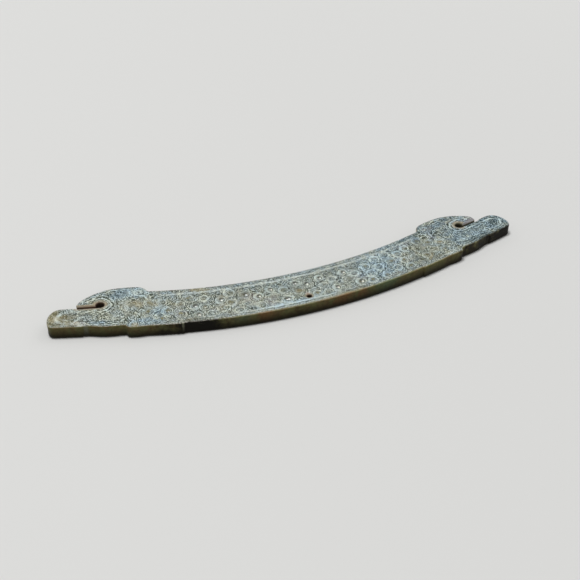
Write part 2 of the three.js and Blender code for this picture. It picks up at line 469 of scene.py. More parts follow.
def spiral(centre, size, turned, hand):
    """A grain's line: a tail that flares in from outside, then a radius that shrinks evenly as it turns."""
    tail = np.linspace(-TAIL_TURN, 0, TAIL_SAMPLES)[:-1]
    angle = np.concatenate([tail, np.linspace(0, 2 * np.pi * SPIRAL_TURNS, SPIRAL_SAMPLES)])
    radius = SPIRAL_START - SPIRAL_STEP * np.maximum(angle, 0) / (2 * np.pi)
    radius = radius + TAIL_FLARE * (np.minimum(angle, 0) / TAIL_TURN) ** 2
    heading = turned + hand * angle
    return centre + size * radius[:, None] * np.stack([np.cos(heading), np.sin(heading)], -1)


def curl(centre, size, turned, hand=1):
    """A small volute on a head: its radius falls evenly with the angle, from size."""
    angle = np.linspace(0, 2 * np.pi * CURL_TURNS, CURL_SAMPLES)
    radius = size * (1 - CURL_FALL_SHARE * angle / (2 * np.pi))
    heading = turned + hand * angle
    return np.array(centre) + radius[:, None] * np.stack([np.cos(heading), np.sin(heading)], -1)


def head_lines(left):
    """The lines cut on a head, in its own millimetres, each with its share of the usual width and its chalk.

    Most of them are on both heads. The left one has a second line inside its nose, a bright hook at the tip
    of it and a short bar behind the nostril, where the right one has a brighter ring and a curl.
    """
    mouth_ring = through(
        (24.6, -0.8), (20, -0.55), (15.6, -0.5), (13.9, 0.6), (13.2, 2.8),
        (14, 5), (16.4, 6.4), (19.6, 6), (22.6, 4.3),
    )
    mouth_ring_outer = through(
        (24, -2.1), (19.5, -1.9), (15, -1.5), (12.7, -0.2), (11.8, 2),
        (12.4, 5), (14.4, 7.3), (17.4, 7.8), (21, 6.6),
    )
    cheek_line = through((12.8, 9.2), (11.8, 5.5), (11.2, 1.5), (11.5, -2.8), (12.2, -5.4))
    nose_ring = through(
        (26.4, -0.9), (29.4, -1.1), (31.5, -2.3), (32.2, -4), (31, -5.9), (28.5, -6.5), (25.6, -6.2),
    )
    nose_inner = through((30.9, -2.6), (30.3, -3.9), (28.9, -4.9), (27.4, -5.2))
    near_rim = through((31.6, -7.1), (28.4, -7.5), (23, -7.5))
    under_jaw = through((21.5, -7.3), (17.5, -7.2), (13.5, -8), (9.4, -7.3))
    crest_rim = through((21.8, 7.6), (18.5, 9.4), (14, 10.6), (9, 11), (5, 11))
    jaw_rim = through((24.2, 3.4), (22.6, 6), (20.4, 8))
    eye = through((7.4, -1), (9, 0.3), (8.9, 2.4), (7.1, 1.4), closed=True)
    brow = through((10.3, 3.9), (9.9, 0.4), (8.4, -2.2), (5.9, -2.6))
    nose_hook = through((30.3, -2.0), (31.2, -2.7), (31.5, -3.9), (31.2, -4.9), (30.4, -5.5))
    nose_bar = through((22.2, -3.6), (23.6, -4.4), (24.8, -5.8), (25.9, -7.2))
    lines = [
        (mouth_ring, 1.0, 0.65 if left else 0.9),
        (mouth_ring_outer, 0.7, 0.45),
        (cheek_line, 0.7, 0.5),
        (nose_ring, 1.1, 0.5) if left else (nose_ring, 1.4, 1.0),
        (near_rim, 0.7, 0.5 if left else 0.9),
        (under_jaw, 0.7, 0.5),
        (crest_rim, 0.7, 0.6),
        (jaw_rim, 0.6, 0.5),
        (eye, 0.8, 0.6),
        (brow, 0.7, 0.5),
        (curl((3.8, 9.0), 1.9, -2.2), 1.0, 0.6),
        (curl((4.0, 0.6), 1.7, -1.0), 0.9, 0.5),
        (curl((8.9, 6.0), 1.6, 2.5, hand=-1), 0.8, 0.5),
        (curl((5.0, -8.1), 1.5, 1.6), 0.8, 0.7),
        (curl((5.0, -4.6), 1.6, 0.4, hand=-1), 0.8, 0.5),
        (curl((18.6, -4.8), 1.5, 0.6, hand=-1), 0.8, 0.5),
        (curl((14.6, -4.7), 1.4, 2.2), 0.8, 0.5),
    ]
    if left:
        lines += [(nose_inner, 0.8, 0.4), (nose_hook, 2.0, 1.0), (nose_bar, 1.2, 0.9)]
    else:
        lines += [(curl((23.6, -5.6), 1.7, 2.8), 1.2, 0.8)]
    # A row of short strokes along the crest, and one of scratches along the snout
    feet = np.linspace(10, 20, 11)
    near_ends = np.stack([feet, 8.6 - (feet - 12) ** 2 / 45], -1)
    far_ends = np.stack([feet + 0.8, 10.1 - (feet - 11) ** 2 / 40], -1)
    hatches = list(np.stack([near_ends, far_ends], 1))
    feet = np.linspace(16.4, 26.2, 9)
    scratches = [through((foot, -3), (foot + 0.5, -3.4), (foot + 0.3, -4)) for foot in feet]
    return lines + [(line, 0.55, 0.5) for line in hatches + scratches]


def carved_lines():
    """Every incised line in plan, with its width and chalk: both heads' lines, and each grain's spiral."""
    left = [(on_head(line), width, chalk) for line, width, chalk in head_lines(left=True)]
    right = [(on_head(line) * MIRROR, width, chalk) for line, width, chalk in head_lines(left=False)]
    spirals = [spiral(*draw) for draw in zip(GRAINS, GRAIN_SIZES, GRAIN_TURNS, GRAIN_HANDS)]
    widths = RING_WIDTH + RING_WIDENING * GRAIN_CHALKS
    rings = list(zip(spirals, widths, np.minimum(GRAIN_CHALKS, 1)))
    return left + right + rings


CARVED_LINES = carved_lines()
FAR = 1.5
GRAIN_FAR = 3


def nearest_line(points):
    """Distance to the nearest incised line, in line widths and no more than FAR, and that line's chalk."""
    far = np.full(len(points), FAR)
    chalky = np.zeros(len(points))
    for line, width, chalk in CARVED_LINES:
        near = np.flatnonzero(((points > line.min(0) - FAR) & (points < line.max(0) + FAR)).all(1))
        distance = line_distance(points[near], line) / width
        closer = distance < far[near]
        far[near[closer]] = distance[closer]
        chalky[near[closer]] = chalk
    return far, chalky


def nearest_grain(points):
    """Distance to the nearest grain's centre, counted in that grain's size, and which grain it is."""
    far = np.linalg.norm(points[:, None] - GRAINS[None], axis=2) / GRAIN_SIZES
    nearest = far.argmin(1)
    return far[np.arange(len(points)), nearest], nearest


MOUTH_EDGES = [np.vstack(MOUTH_LINES), np.vstack(MOUTH_LINES) * MIRROR]


def mouth_distance(points):
    """Distance from each point to the nearer mouth's edge."""
    return np.minimum(*(line_distance(points, edge) for edge in MOUTH_EDGES))


def lip_bevel(points, widest):
    """How far up the bevel of the left jaw's lip each point is, from 0 on the face to 1 at the lip.

    The bevel falls evenly across its width, and the width grows along the lip, by a smooth step, from the
    usual one to the widest.
    """
    hole, tip = MOUTH_LINES[-1]
    run, to_jaw = tip - hole, hole - MOUTH_LINES[0][-1]
    along = (points - hole) @ run / (run @ run)
    width = LIP_BEVEL + (widest - LIP_BEVEL) * ramp(along, 0, WORN_BEVEL_SHARE)
    on_jaw = (points - hole) @ to_jaw > -LIP_OVERLAP
    return (1 - np.clip(line_distance(points, MOUTH_LINES[-1]) / width, 0, 1)) * on_jaw


def string_scoop(points):
    """The string hole's scoop: a bell curve across it, which fades out towards the hollow edge."""
    side, away = (points - STRING_HOLE).T
    fading = 1 - ramp(away, SCOOP_START, SCOOP_START + SCOOP_REACH)
    return bell(side, 0, SCOOP_HALF_WIDTH) * fading * ramp(away, *SCOOP_BEGINS)


class Face:
    """What is measured at each point of a face before it is carved: its place, and how far the forms are."""

    def __init__(self, points, edge):
        self.points = points
        self.edge = edge
        self.along, across = arc_place(points)
        self.head = ramp(np.abs(self.along), *HEAD_BEGINS)
        self.hollow_side = 1 - ramp(across, *MID_BAND)
        self.string_rim = string_distance(points)
        self.mouth_rim = mouth_distance(points)
        self.clear = ramp(self.string_rim, *STRING_CLEAR)
        self.grain, self.nearest = nearest_grain(points)
        self.line, self.chalk = nearest_line(points)
        contour = ramp(np.abs(self.along), *CONTOURS_BEGIN) * (1 - ramp(np.abs(self.along), *CONTOURS_END))
        self.contour = contour * (1 - ramp(edge, *CONTOURS_REACH))
        rim = HOLLOW_RIM * self.hollow_side + OUTER_RIM * (1 - self.hollow_side)
        self.rim = rim * (1 - self.head) + HEAD_RIM * self.head
        from_outside = OUTER_RADIUS - np.linalg.norm(points, axis=1)
        self.rim_edge = np.where(self.string_rim < STRING_HOLE_INSET, from_outside, edge)
        fade_start, fade_end = RIM_FADE
        self.on_rim = 1 - ramp(self.rim_edge, self.rim + fade_start, self.rim + fade_end)


def ground_depth(face):
    """The sunk field and its grains, as depth.

    The field goes down by a smooth step inside the plain rims, less deep on the heads, and not at the mouths.
    Each grain is a dome, which falls as the smooth step of its radius, and stands in a shallow moat.
    """
    sunk = ramp(face.rim_edge, face.rim, face.rim + RIM_SLOPE)
    sunk = sunk * (FIELD_DEPTH * (1 - face.head) + HEAD_DEPTH * face.head)
    sunk = sunk * ramp(face.mouth_rim, *MOUTH_CLEAR)
    dome = (1 - ramp(face.grain, *DOME)) * GRAIN_RISES[face.nearest] * face.clear
    moat = MOAT_DEPTH * ramp(face.grain, *MOAT_BEGINS) * (1 - ramp(face.grain, *MOAT_ENDS)) * face.clear
    return np.maximum(sunk + moat - dome, LEAST_DEPTH * ramp(face.edge, *LEAST_REACH))


def wave_turns(face):
    """The fine waves, counted in turns: each full turn is one line.

    They are rings round the grains, and follow the incised lines on the heads, the edge on the rims and, as
    wider contour lines, the edge of the jaws and snouts. Unevenness makes them wander.
    """
    wave = (face.grain - SPIRAL_START) * (1 - face.head) + face.line * face.head
    wave = (wave * (1 - face.on_rim) + face.rim_edge * face.on_rim) / WAVE_PITCH
    wave = wave * (1 - face.contour) + face.edge / CONTOUR_PITCH * face.contour
    return wave + unevenness(face.points, WANDERING) * (1 - CONTOUR_STEADINESS * face.contour)


def rim_lines(face):
    """How bright the rims' pale ridges are, partly chalk and partly painted highlight, and how dark the outer
    rim's seam.

    Each is a bell curve of the distance in from the edge, and their strength along the band is one too.
    """
    outer_side = 1 - face.hollow_side
    hollow_bright = HOLLOW_BRIGHT_LEAST + (1 - HOLLOW_BRIGHT_LEAST) * bell(face.along, *HOLLOW_BRIGHT)
    outer_bright = bell(face.along, *OUTER_BRIGHT)
    bright = np.where(face.hollow_side > 0.5, hollow_bright, outer_bright) * (1 - face.head)
    ridge_chalk_and_highlight = bell(face.rim_edge, face.rim - RIDGE_INSET, RIDGE_WIDTH) * (1 - OUTER_RIDGE_LOSS * outer_side)
    ridge_chalk_and_highlight = ridge_chalk_and_highlight + PALE_LINE_SHARE * bell(face.rim_edge, *PALE_LINE) * outer_side
    return ridge_chalk_and_highlight * bright, bell(face.rim_edge, *SEAM) * outer_side * bright


def mouth_soil(face):
    """Where earth lies round the mouths: about both drilled holes, and along the left mouth's slot."""
    both_sides = face.points, face.points * MIRROR
    hole = np.minimum(*(line_distance(places, MOUTH_LINES[1]) for places in both_sides))
    slot = ramp(face.mouth_rim, *SLOT_SOIL) + (face.points[:, 0] > 0)
    return 1 - np.minimum(slot, ramp(hole, *HOLE_SOIL))


def carving(points, edge):
    """How deep each point of a face lies, and what the finish needs to know there.

    To the ground's depth come the incised lines, cut by a smooth step of the distance to them, and the fine
    waves, by their cosine. The mouths are countersunk, the jaws' lips are bevelled, narrowly on the left and
    widening to the worn tip on the right, and the string hole is scooped. All of it is a little uneven.
    """
    face = Face(points, edge)
    cut = (1 - ramp(face.line, *LINE_FLANK)) * ramp(face.string_rim, *LINES_CLEAR)
    wave = wave_turns(face)
    trough = (0.5 - 0.5 * np.cos(2 * np.pi * wave)) * ramp(face.grain, *WAVES_BEGIN)
    trough = trough * ramp(edge, *WAVES_REACH)
    depth = ground_depth(face) + cut * LINE_DEPTH + trough * WAVE_DEPTH
    narrow = lip_bevel(points, LIP_BEVEL)
    worn = lip_bevel(points * MIRROR, WORN_BEVEL)
    bevel_depth = np.maximum(LIP_BEVEL_DEPTH * narrow, WORN_BEVEL_DEPTH * worn)
    countersink = (1 - ramp(face.mouth_rim, 0, COUNTERSINK)) * COUNTERSINK_DEPTH
    scoop = string_scoop(points)
    depth = depth + np.maximum(countersink, bevel_depth) + SCOOP_DEPTH * scoop
    depth = depth + (unevenness(points, ROUGHNESS) + ROUGH_DEPTH) * ramp(edge, *ROUGH_REACH)
    # Distance to each grain's painted glint, which sits on the near slope of its crown
    painted_glint = np.linalg.norm(points - GRAINS[face.nearest] - PAINTED_GLINT_SHIFT, axis=1) / GRAIN_SIZES[face.nearest]
    ridge_chalk_and_highlight, seam = rim_lines(face)
    return np.maximum(depth, 0), {
        "line": face.line,
        "chalk": face.chalk,
        "polish": GRAIN_POLISHES[face.nearest] * (1 - ramp(face.grain, *POLISH_ENDS)) * face.clear,
        "painted_glint": (1 - ramp(painted_glint, *PAINTED_GLINT_ENDS)) * GRAIN_PAINTED_GLINTS[face.nearest] * (1 - face.head) * face.clear,
        "bevel": np.maximum(narrow, worn),
        "scoop": scoop,
        "seam": seam,
        "wave": wave,
        "contour": face.contour,
        "grain": np.minimum(face.grain, GRAIN_FAR),
        "edge": edge,
        "rim": face.on_rim,
        "mouth": mouth_soil(face),
        "string": 1 - ramp(face.string_rim, *STRING_SOIL),
        "ridge_chalk_and_highlight": ridge_chalk_and_highlight,
    }


# The stains of the faces and of the edge wall, by the names that the finish reads, as soft oval spots: length
# along, width across, half length, half width and strength. The pale spots are chalk and in places painted
# highlights; the shade spots are darker tone and in places painted shade.
STAINS = {
    "tan": [
        (-60.2, 18.4, 1.2, 1.5, 1.4), (-61, 6.5, 6, 2.6, 0.7), (-55, 7, 4, 2.4, 0.6),
        (-37, 1.5, 5, 1.6, 0.8), (-47, 8, 6, 3.5, 0.35), (-30.5, 6.5, 1.7, 1.6, 0.9), (-27, 9, 9, 6, 0.4),
        (-24, 5.5, 4, 2.5, 0.6), (-2, 10.3, 1.8, 1.3, 1), (12.5, 18.2, 9, 0.9, 0.9),
        (-42, 17.5, 5, 1.4, 0.5), (17, 13, 8, 3.5, 0.15), (50, 10, 5, 4, 0.3), (52, 14.1, 0.6, 0.5, 1.5),
        (51, 14.9, 0.6, 0.5, 1.7), (50, 15.6, 0.6, 0.5, 1.7), (49, 16.4, 0.6, 0.5, 1.5),
        (59.3, 10.2, 1.4, 1.2, 0.9), (-83.2, 14.9, 3, 1.6, 1), (-84, 17.5, 7, 3, 0.8),
        (-88, 16, 1.8, 5, 1.1), (-75, 8, 4, 4, 0.4),
    ],
    "blue": [
        (-52, 12, 4, 4, 0.8), (-58, 17, 7, 2.5, 0.8), (-50, 3, 5, 3.5, 0.5), (-66, 1.5, 10, 4, 0.8),
        (-63, -2, 9, 4, 0.7), (-72, 17, 6, 2, 0.6), (-20, 2, 12, 3, 0.45), (-8, 5, 10, 4, 0.5),
        (-6, 16, 14, 2.2, 0.75), (3, 1, 14, 2.5, 0.5), (14, 4, 9, 2.5, 0.3), (30, 9, 10, 8, 1),
        (40, 3, 8, 6, 0.7), (37, 15, 9, 2.5, 0.6), (50, 2, 9, 4, 0.7), (62, 2, 12, 6, 0.6),
        (68, 1.5, 6, 3, 0.9), (74, 12, 14, 10, 1), (85, 14, 8, 7, 1.2),
    ],
    "mauve": [
        (-20, 9, 3, 4, 0.6), (-14, 13, 3, 3, 0.6), (-45, 13, 4, 3, 0.5), (-33, 13, 3, 2, 0.4),
        (22, 11, 3, 4, 0.3), (42, 10, 4, 5, 0.4), (47, 4, 5, 2, 0.5), (59, 5, 3, 3, 0.5),
        (71, 3, 4, 1.6, 0.6), (79.5, 6.5, 3, 2, 1), (61.8, 1.2, 2.5, 2, 0.9), (-79, 18, 3.5, 1.5, 0.9),
    ],
    "shade": [
        (-26, 6, 7, 3.5, 0.5), (-39.5, 17.6, 5.5, 1, 0.9), (-43, 6, 4, 2, 0.3), (-38.5, 9, 3.5, 2, 0.7),
        (-3.5, 8.5, 3.5, 2, 0.8), (-82.5, 15, 3.5, 2.5, 0.5), (-3, 13.5, 2.5, 1.5, 0.4),
        (14, 5, 7, 2.5, 0.4), (17, 17.5, 6, 0.8, 0.7), (36, 17.8, 5, 0.8, 0.5), (52, 8, 6, 14, 0.5),
        (52.5, 1.2, 4, 1, 0.8), (45.5, 13, 3.5, 2, 0.7), (62, 2, 8, 5, 0.55), (71, 1.5, 6, 2.5, 0.9),
        (66.3, 6.2, 2, 3, 0.7), (79.5, 11.3, 5, 1.8, 0.7), (-70, 1.5, 5, 2, 0.5), (70, 10, 18, 10, 0.4),
        (77, 18.5, 13, 2.6, 1), (85.3, 14.8, 2.4, 1.2, 2.2), (-84, 18.5, 5, 2, 0.5),
    ],
    "pale": [
        (-8, 16.3, 16, 0.9, 0.9), (-17, 13, 6, 2.5, 0.5), (-53, 5, 5, 3.5, 0.4), (-34, 16, 5, 1.2, 0.4),
        (4, 11, 4, 2, 0.35), (33, 5, 4, 2, 0.3), (-58, -0.5, 5, 1.5, 0.6), (-64, 7, 1.6, 5, 0.6),
        (-62.5, 0.6, 3, 2.2, 0.8), (-57.5, 5, 3, 2.5, 0.5), (-53, 9.5, 3.5, 2.5, 0.6),
        (-65, 15, 5, 2.5, 0.55), (-82.5, 11.3, 3, 1.2, 0.6), (67.5, 14.8, 3, 2.5, 0.6),
        (52.5, 9, 3.5, 2, 0.55), (-79, 18, 2.5, 1.2, 0.8), (-58.7, 2.4, 1, 0.6, 1.6),
        (-77.8, 19.3, 1.6, 1, 1.2), (57.5, 17.6, 3, 1, 0.9),
    ],
    "red": [
        (-76, 8, 9, 5, 1), (0, 14.3, 2, 2, 1),
    ],
    "wall_rust": [
        (-17, 19, 3, 9, 0.9), (11, 19, 4, 9, 1.1), (18, 19, 3, 9, 0.5),
    ],
    "wall_dark": [
        (-39, 19, 8, 9, 1.3), (-50, 19, 4, 9, 0.6), (-5, 19, 3, 9, 0.35), (64, 19, 7, 9, 0.55),
        (75, 19, 8, 9, 0.8), (87, 19, 10, 9, 1.2),
    ],
    "wall_green": [
        (-25, 19, 4.5, 9, 0.5), (28, 19, 6, 9, 0.8), (48, 19, 6, 9, 0.3),
    ],
    "wall_pale": [
        (-44.5, 19, 0.45, 9, 0.7), (-76.2, 19, 0.9, 9, 1.2), (-90, 19, 3, 9, 0.6),
    ],
}


def stains(points, spots):
    """Strength of the stain at each point: the strongest of the spots, each falling as a bell curve."""
    along, across = arc_place(points)
    strength = np.zeros(len(points))
    for place_along, place_across, half_length, half_width, most in spots:
        fall = ((along - place_along) / half_length) ** 2 + ((across - place_across) / half_width) ** 2
        strength = np.maximum(strength, most * np.exp(-fall))
    return strength


# The stone's surface

def set_in(loop, inset):
    """A closed line moved into the stone: each point goes inset along the normal of its neighbours' run."""
    run = np.roll(loop, -1, axis=0) - np.roll(loop, 1, axis=0)
    normal = np.stack([-run[:, 1], run[:, 0]], -1)
    return loop + inset * normal / np.linalg.norm(normal, axis=1, keepdims=True)


def face_points(step, insets):
    """Points of a face in plan: its edges, lines set in from them, and a lattice of triangles between."""
    edges = np.vstack([OUTLINE, STRING_EDGE])
    kept, far = [edges], [np.zeros(len(edges))]
    for inset in insets:
        ring = np.vstack([set_in(OUTLINE, inset), set_in(STRING_EDGE, inset)])
        distance = edge_distance(ring)
        good = (distance > RING_CLEARANCE * inset) & in_stone(ring)
        kept.append(ring[good])
        far.append(distance[good])
    low, high = OUTLINE.min(0), OUTLINE.max(0)
    rows = np.arange(low[1], high[1], step * math.sqrt(3) / 2)
    columns = np.arange(low[0], high[0], step)
    x, y = np.meshgrid(columns, rows)
    x[1::2] += step / 2
    lattice = np.stack([x.ravel(), y.ravel()], -1)
    lattice = lattice[in_stone(lattice)]
    distance = edge_distance(lattice)
    good = distance > insets[-1] + LATTICE_CLEARANCE * step
    return np.vstack([*kept, lattice[good]]), np.concatenate([*far, distance[good]])


def face_triangles(points):
    """Triangles between the points of a face, counter-clockwise: the Delaunay ones between its edges."""
    count = len(OUTLINE)
    outer = [(i, (i + 1) % count) for i in range(count)]
    hole = [(count + i, count + (i + 1) % STRING_HOLE_SIDES) for i in range(STRING_HOLE_SIDES)]
    centred = points - [0, MIDDLE_Y]
    only_inside, reach = 1, 1e-6
    _, _, faces, places, _, _ = delaunay_2d_cdt(centred.tolist(), outer + hole, [], only_inside, reach)
    faces = np.array([place[0] for place in places])[np.array(faces)]
    a, b, c = (points[faces[:, corner]] for corner in range(3))
    turning = (b[:, 0] - a[:, 0]) * (c[:, 1] - a[:, 1]) - (b[:, 1] - a[:, 1]) * (c[:, 0] - a[:, 0])
    clockwise = turning < 0
    faces[clockwise] = faces[clockwise][:, ::-1]
    in_hole = ((faces >= count) & (faces < count + STRING_HOLE_SIDES)).all(1)
    return faces[~in_hole]


def arris(edge, radius):
    """How far a rounded edge has fallen at a distance in from it: a quarter circle of that radius."""
    reach = np.clip(radius - edge, 0, radius)
    return radius - np.sqrt(radius**2 - reach**2)


def wall_bands(loop, top, under, first_top, first_under, start):
    """The edge wall: the loop carried down from the top edge's heights to the under edge's.

    It is hollowed by the root of the sine of its way down, a little unevenly.
    """
    count = len(loop)
    along, _ = arc_place(loop)
    rings = []
    for way in np.linspace(0, 1, WALL_STEPS + 1)[1:-1]:
        level = top + (under - top) * way
        wander = unevenness(np.stack([along, level], -1), WALL_WANDERING)
        inset = (WALL_HOLLOW + wander) * math.sin(math.pi * way) ** 0.5
        rings.append(np.column_stack([set_in(loop, inset[:, None]), level]))
    index = [first_top + np.arange(count)]
    index += [start + count * ring + np.arange(count) for ring in range(len(rings))]
    index += [first_under + np.arange(count)]
    quads = []
    for upper, lower in zip(index[:-1], index[1:]):
        quads.append(np.stack([lower, np.roll(lower, -1), np.roll(upper, -1), upper], -1))
    return np.vstack(rings), np.vstack(quads)


def edge_values(plan, edge):
    """How much of each point is the openings' walls, the edge wall, and the edge's pale line, partly worn and
    partly a painted highlight.
    """
    along, across = arc_place(plan)
    wall_end = WALL_ENDS[1] + WALL_SPREAD * ramp(along, *BODY_BEGINS) * ramp(across, *MID_BAND)
    worn_and_highlit = WORN_HIGHLIGHT_SHARE + sum(change * ramp(along, low, high) for low, high, change in WORN_HIGHLIGHT_CHANGES)
    return {
        "bore": 1 - ramp(np.minimum(string_distance(plan), mouth_distance(plan)), *BORE_ENDS),
        "wall": 1 - ramp(edge, WALL_ENDS[0], wall_end),
        "arris": ramp(edge, *WORN_HIGHLIGHT_BEGINS) * (1 - ramp(edge, *WORN_HIGHLIGHT_ENDS)) * worn_and_highlit,
    }


def stone():
    """The whole plaque as one closed surface: the carved face, the other face turned over, and the walls."""
    top, top_edge = face_points(FRONT_STEP, FRONT_INSETS)
    top_depth, top_values = carving(top, top_edge)
    along, across = arc_place(top)
    worn = ramp(along, *WORN_BEGINS) * ramp(across, *OUTER_HALF)
    roundness = TOP_ARRIS + BODY_ARRIS * ramp(along, *BODY_BEGINS) + WORN_ARRIS * worn
    under, under_edge = face_points(BACK_STEP, BACK_INSETS)
    under_depth, under_values = carving(under * MIRROR, under_edge)
    upper = np.column_stack([top, THICKNESS - (top_depth + arris(top_edge, roundness))])
    lower = np.column_stack([under, under_depth + arris(under_edge, UNDER_ARRIS)])
    points = [upper, lower]
    faces_count = len(upper) + len(lower)
    start = faces_count
    quads = []
    for loop, first in ((OUTLINE, 0), (STRING_EDGE, len(OUTLINE))):
        rim = slice(first, first + len(loop))
        rings, bands = wall_bands(loop, upper[rim, 2], lower[rim, 2], first, len(upper) + first, start)
        points.append(rings)
        quads.append(bands)
        start += len(rings)
    points = np.vstack(points)
    on_walls = {"line": FAR, "grain": GRAIN_FAR}
    values = {}
    for name in top_values:
        walls = np.full(len(points) - faces_count, on_walls.get(name, 0))
        values[name] = np.concatenate([top_values[name], under_values[name], walls])
    plan = points[:, :2]
    values.update(edge_values(plan, values.pop("edge")))
    values.update({name: stains(plan, spots) for name, spots in STAINS.items()})
    triangles = np.vstack([face_triangles(top), face_triangles(under)[:, ::-1] + len(upper)])
    return points, triangles, np.vstack(quads), values


def mesh_object(name, points, triangles, quads, values):
    """A smooth shaded mesh in the frame, in metres, with each set of values kept on its points."""
    placed = (points - [0, MIDDLE_Y, 0]) * MM + [0, (slab_low[1] + slab_high[1]) / 2, slab_low[2]]
    corners = np.concatenate([triangles.ravel(), quads.ravel()]).astype(np.int32)
    sizes = np.concatenate([np.full(len(triangles), 3), np.full(len(quads), 4)])
    mesh = bpy.data.meshes.new(name)
    mesh.vertices.add(len(placed))
    placed = np.clip(placed, slab_low, slab_high)
    mesh.vertices.foreach_set("co", placed.astype(np.float32).ravel())
    mesh.loops.add(len(corners))
    mesh.loops.foreach_set("vertex_index", corners)
    mesh.polygons.add(len(sizes))
    mesh.polygons.foreach_set("loop_start", np.concatenate([[0], np.cumsum(sizes)[:-1]]).astype(np.int32))
    mesh.polygons.foreach_set("use_smooth", np.ones(len(sizes), bool))
    for title, value in values.items():
        layer = mesh.attributes.new(title, "FLOAT", "POINT")
        layer.data.foreach_set("value", np.asarray(value, np.float32))
    mesh.update(calc_edges=True)
    mesh.validate()
    made = bpy.data.objects.new(name, mesh)
    bpy.context.scene.collection.objects.link(made)
    return made


# Finishes

class Finish:
    """A material being built: each method adds nodes and gives the output of the last of them."""

    def __init__(self, name):
        self.material = bpy.data.materials.new(name)
        self.material.use_nodes = True
        self.nodes = self.material.node_tree.nodes
        self.links = self.material.node_tree.links
        self.shader = self.nodes["Principled BSDF"]
        self.place = self.nodes.new("ShaderNodeTexCoord").outputs["Object"]

    def put(self, socket, value):
        """A link where the value is another node's output, and otherwise a plain setting."""
        if isinstance(value, bpy.types.NodeSocket):
            self.links.new(value, socket)
        elif isinstance(value, tuple) and len(value) == 3 and socket.type == "RGBA":
            socket.default_value = (*value, 1)
        else:
            socket.default_value = value

    def made(self, kind, inputs, output, **settings):
        """A new node's output, by its name or number, with the node's inputs and its other settings."""
        node = self.nodes.new("ShaderNode" + kind)
        for title, setting in settings.items():
            setattr(node, title, setting)
        for title, value in inputs.items():
            self.put(node.inputs[title], value)
        return node.outputs[output]

    def value(self, title):
        """A value kept on the mesh's points."""
        return self.made("Attribute", {}, "Fac", attribute_name=title)

    def clouds(self, size, detail=3.0, roughness=0.55, lean=0.0):
        """Noise whose patches are about size millimetres across, from 0 to 1."""
        inputs = {"Vector": self.place, "Scale": 1 / (size * MM)}
        inputs.update({"Detail": detail, "Roughness": roughness, "Distortion": lean})
        return self.made("TexNoise", inputs, "Fac")

    def share(self, value, low, high, least=0.0, most=1.0):
        """Smooth step of a value from low to high, as a share from least to most."""
        inputs = {"Value": value, "From Min": low, "From Max": high, "To Min": least, "To Max": most}
        return self.made("MapRange", inputs, "Result", interpolation_type="SMOOTHSTEP")

    def worked(self, operation, first, second=0.0):
        """One operation on a value, or on two, such as COSINE or POWER."""
        return self.made("Math", {0: first, 1: second}, 0, operation=operation)

    def times(self, first, second):
        """Two values multiplied."""
        return self.worked("MULTIPLY", first, second)

    def plus(self, first, second):
        """Two values added."""
        return self.worked("ADD", first, second)

    def minus(self, first, second):
        """The second value taken from the first."""
        return self.worked("SUBTRACT", first, second)

    def around(self, value, reach):
        """A value from 0 to 1, moved and spread to lie round 0, reach wide."""
        return self.times(self.minus(value, 0.5), reach)

    def ragged(self, title, clouds, reach, low, high, least=0.0, most=1.0):
        """The share of a value kept on the mesh, its outline broken up by clouds that move it by reach."""
        return self.share(self.plus(self.value(title), self.around(clouds, reach)), low, high, least, most)

    def number(self, share, first, second):
        """The first number turning into the second as the share goes from 0 to 1."""
        return self.made("Mix", {0: share, 2: first, 3: second}, 0, data_type="FLOAT")

    def blend(self, share, first, second, how="MIX"):
        """The first colour turning into the second, or mixed with it in another way, as the share grows."""
        return self.made("Mix", {0: share, 6: first, 7: second}, 2, data_type="RGBA", blend_type=how)

    def tinted(self, colour, tint):
        """A colour multiplied by a tint."""
        return self.blend(1.0, colour, tint, how="MULTIPLY")


# Colours of the stone, its stains and the clay in its lines
OLIVE_GROUND = (0.21, 0.225, 0.17)
GREY_GROUND = (0.23, 0.265, 0.255)
BLUE_GROUND = (0.17, 0.235, 0.265)
MAUVE_GROUND = (0.27, 0.24, 0.275)
DARK_OLIVE = (0.036, 0.042, 0.026)
DARK_TEAL = (0.027, 0.044, 0.046)
GRAIN_OLIVE = (0.2, 0.19, 0.08)
# The grains' dark polish, partly a painted dark reflection
GRAIN_DARK_AND_REFLECTION = (0.035, 0.042, 0.028)
CHALK = (0.68, 0.74, 0.68)
CHALK_BLUE = (0.61, 0.74, 0.78)
# A painted glint: the pale spot on a grain's crown stands in for a highlight
PAINTED_GLINT_PALE = (0.86, 0.88, 0.82)
# Pale of the rims' ridges: partly chalk, partly a painted highlight
RIDGE_PALE_AND_HIGHLIGHT = (0.66, 0.72, 0.69)
RIM_GREY = (0.225, 0.25, 0.245)
# Pale of the tan chalk and of the edge line, which is partly worn and partly a painted highlight
EDGE_PALE = (0.48, 0.45, 0.39)
YELLOWED = (1.0, 0.98, 0.92)
BLUED = (0.92, 0.96, 1.0)
TAN = (0.31, 0.265, 0.14)
MOUTH_TAN = (0.36, 0.31, 0.22)
BEVEL_BROWN = (0.25, 0.2, 0.13)
BEVEL_GREY = (0.27, 0.26, 0.265)
SCOOP_PINK = (0.45, 0.38, 0.34)
BORE_OLIVE = (0.26, 0.24, 0.15)
BORE_RED = (0.28, 0.165, 0.12)
WALL_OLIVE = (0.285, 0.275, 0.115)
WALL_BROWN = (0.285, 0.22, 0.095)
WALL_RUST = (0.33, 0.2, 0.085)
WALL_GREEN = (0.24, 0.31, 0.16)
WALL_DARK = (0.01, 0.009, 0.006)
WALL_PALE = (0.4, 0.41, 0.28)
FLOOR_PALE = (0.66, 0.66, 0.65)
FLOOR_BOUNCE = (0.1, 0.1, 0.1)

